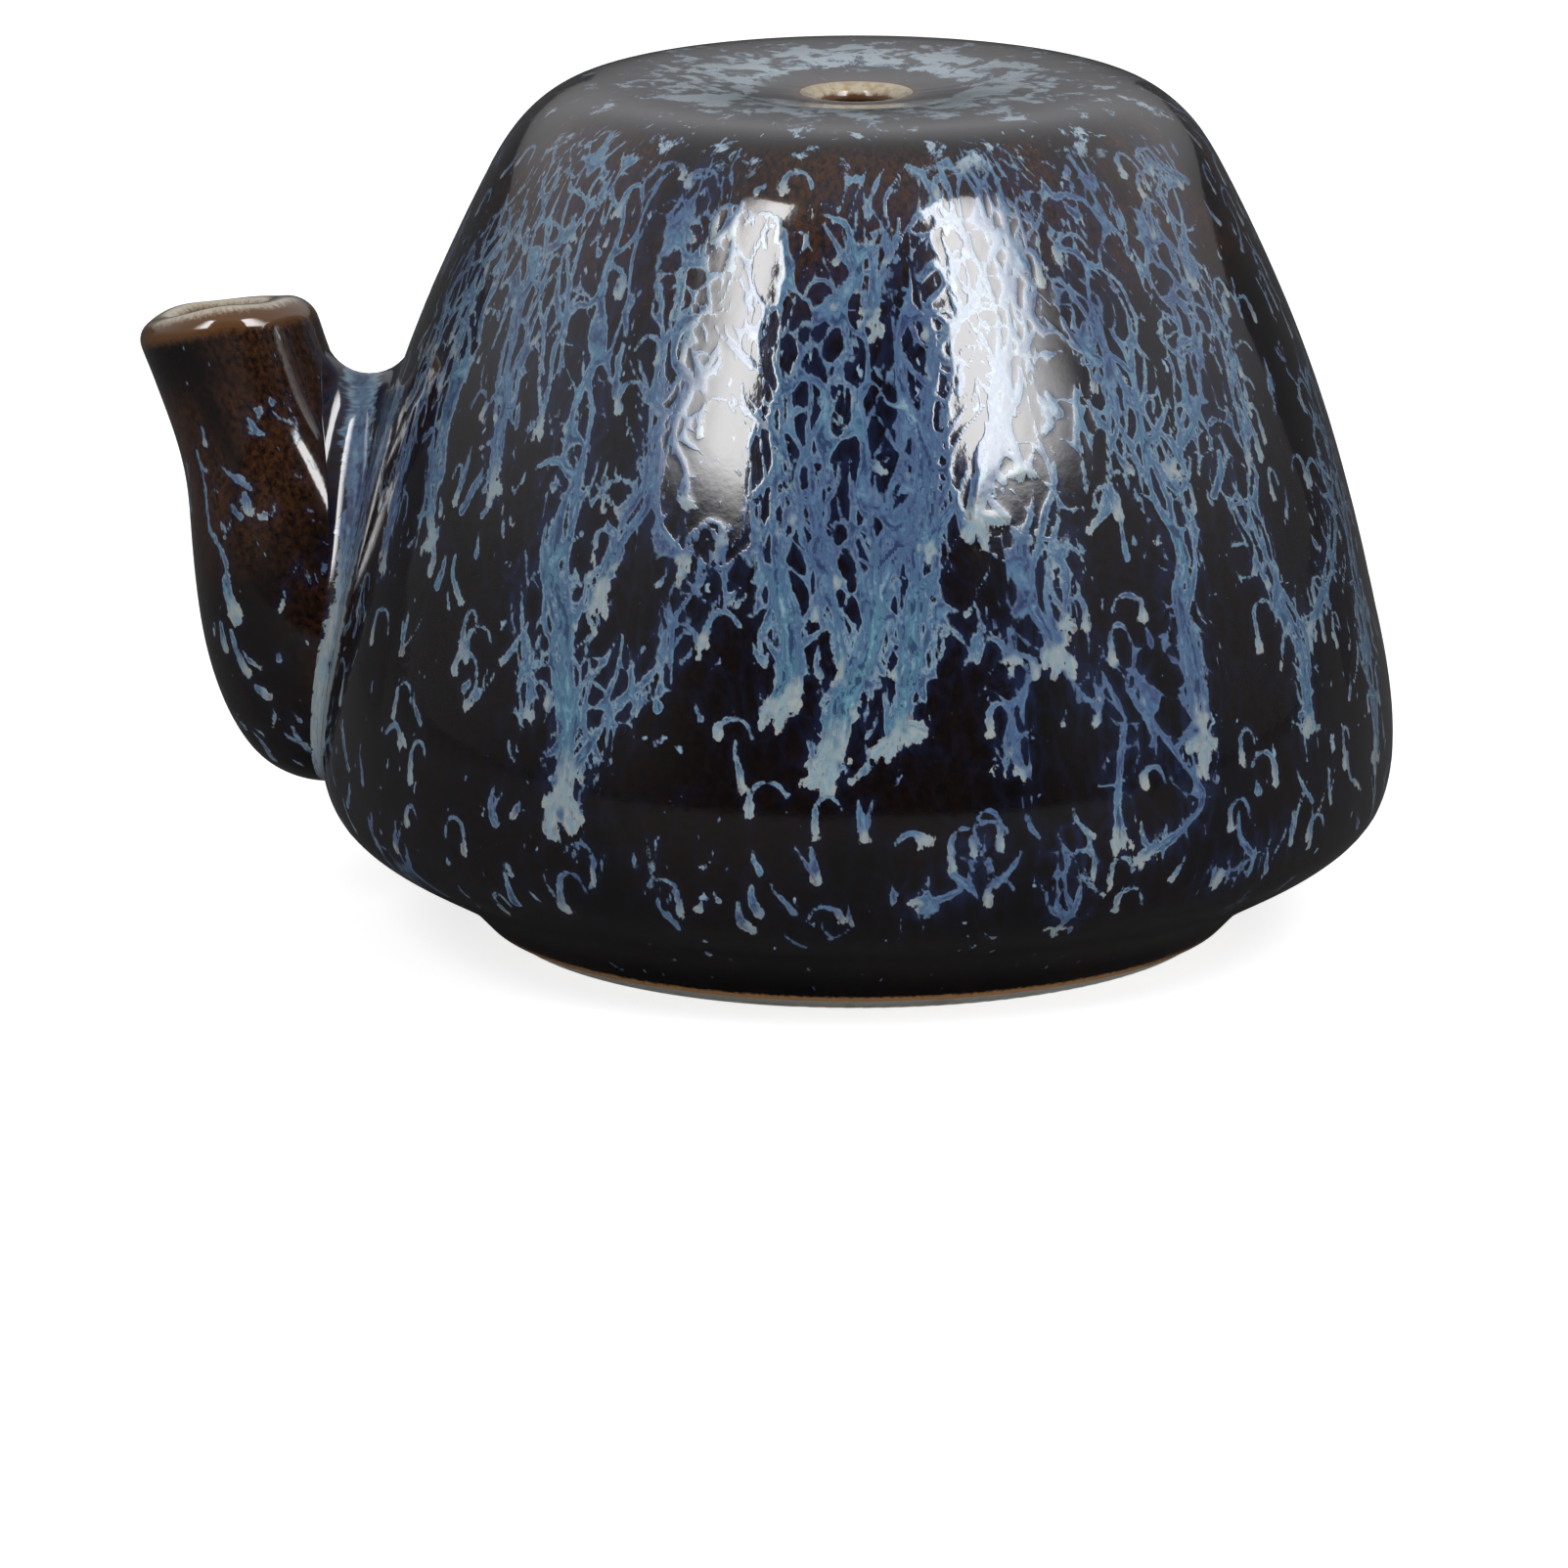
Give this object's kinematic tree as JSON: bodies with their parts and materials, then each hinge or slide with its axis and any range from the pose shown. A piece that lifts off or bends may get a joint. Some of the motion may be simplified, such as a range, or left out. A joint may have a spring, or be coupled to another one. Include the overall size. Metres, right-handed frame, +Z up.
{
  "type": "calligraphy water dropper",
  "caption": "Glazed ceramic water dropper for an ink stone: a low cone-shaped vessel with an air hole in its crown and a hollow pear-shaped spout at one side.",
  "frame": {"origin": "centre of the foot's underside, on the vessel's turning axis", "axes": "+Z up along the turning axis through the air hole, the spout towards -X, the longest way along X"},
  "size_m": [0.0853, 0.0728, 0.0579],
  "materials": {
    "crown": "fired clay, hidden under glaze",
    "body_wall": "fired clay, hidden under glaze",
    "bowl": "fired clay, hidden under glaze",
    "foot_ring": "bare fired clay, matt, whitish grey",
    "spout": "fired clay, hidden under glaze",
    "spout_joint": "fired clay, hidden under glaze",
    "joint_glaze": "glossy pooled glaze, pale grey blue to tan",
    "body_glaze": "glossy black brown with running blue streaks and flecks",
    "spout_glaze": "glossy black brown",
    "lip_glaze": "glossy amber to cream",
    "spout_lining": "glossy olive brown",
    "cavity_glaze": "glossy black",
    "air_hole_glaze": "glossy cream with an orange brown edge",
    "recess_glaze": "glossy black brown"
  },
  "bodies": {
    "root": {"crown": "crown", "body_wall": "body_wall", "bowl": "bowl", "foot_ring": "foot_ring", "spout": "spout", "spout_joint": "spout_joint", "joint_glaze": "joint_glaze", "body_glaze": "body_glaze", "spout_glaze": "spout_glaze", "lip_glaze": "lip_glaze", "spout_lining": "spout_lining", "cavity_glaze": "cavity_glaze", "air_hole_glaze": "air_hole_glaze", "recess_glaze": "recess_glaze"}
  },
  "joints": []
}
